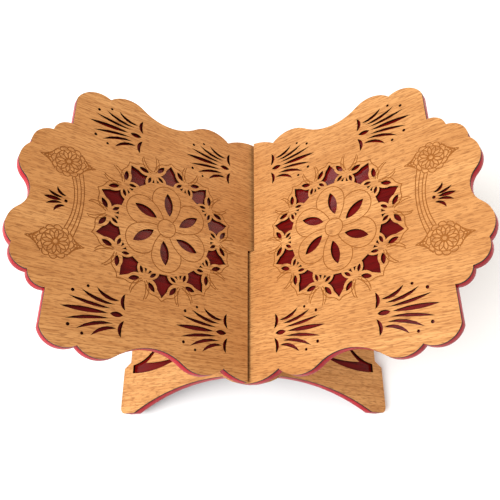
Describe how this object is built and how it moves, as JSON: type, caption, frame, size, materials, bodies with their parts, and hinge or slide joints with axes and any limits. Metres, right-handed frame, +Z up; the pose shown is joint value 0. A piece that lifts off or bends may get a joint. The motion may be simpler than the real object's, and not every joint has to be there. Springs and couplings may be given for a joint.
{
  "type": "quran stand",
  "caption": "Crossed two-panel folding book stand: scalloped wings with pierced and engraved ornament hold an open book, and the lower ends are its legs.",
  "frame": {"origin": "centre of the footprint on the surface that the stand rests on", "axes": "+Z up, Y along the hinge line with -Y towards the reader, +X from the left wing to the right wing"},
  "size_m": [0.4462, 0.338, 0.2772],
  "materials": {
    "beech_face": "light orange-brown wood, satin, with scorched laser-cut edges and engraved lines",
    "red_backing": "board in deep red gloss lacquer, brighter along its cut edges"
  },
  "bodies": {
    "left_panel": {"left_panel_face_sheet": "beech_face", "left_panel_backing": "red_backing"},
    "right_panel": {"right_panel_face_sheet": "beech_face", "right_panel_backing": "red_backing"}
  },
  "joints": [
    {"name": "fold", "type": "hinge", "parent": "left_panel", "child": "right_panel", "pos_m": [0, 0, 0.11848], "axis": [0, -1, 0], "range_deg": [0, 40]}
  ]
}
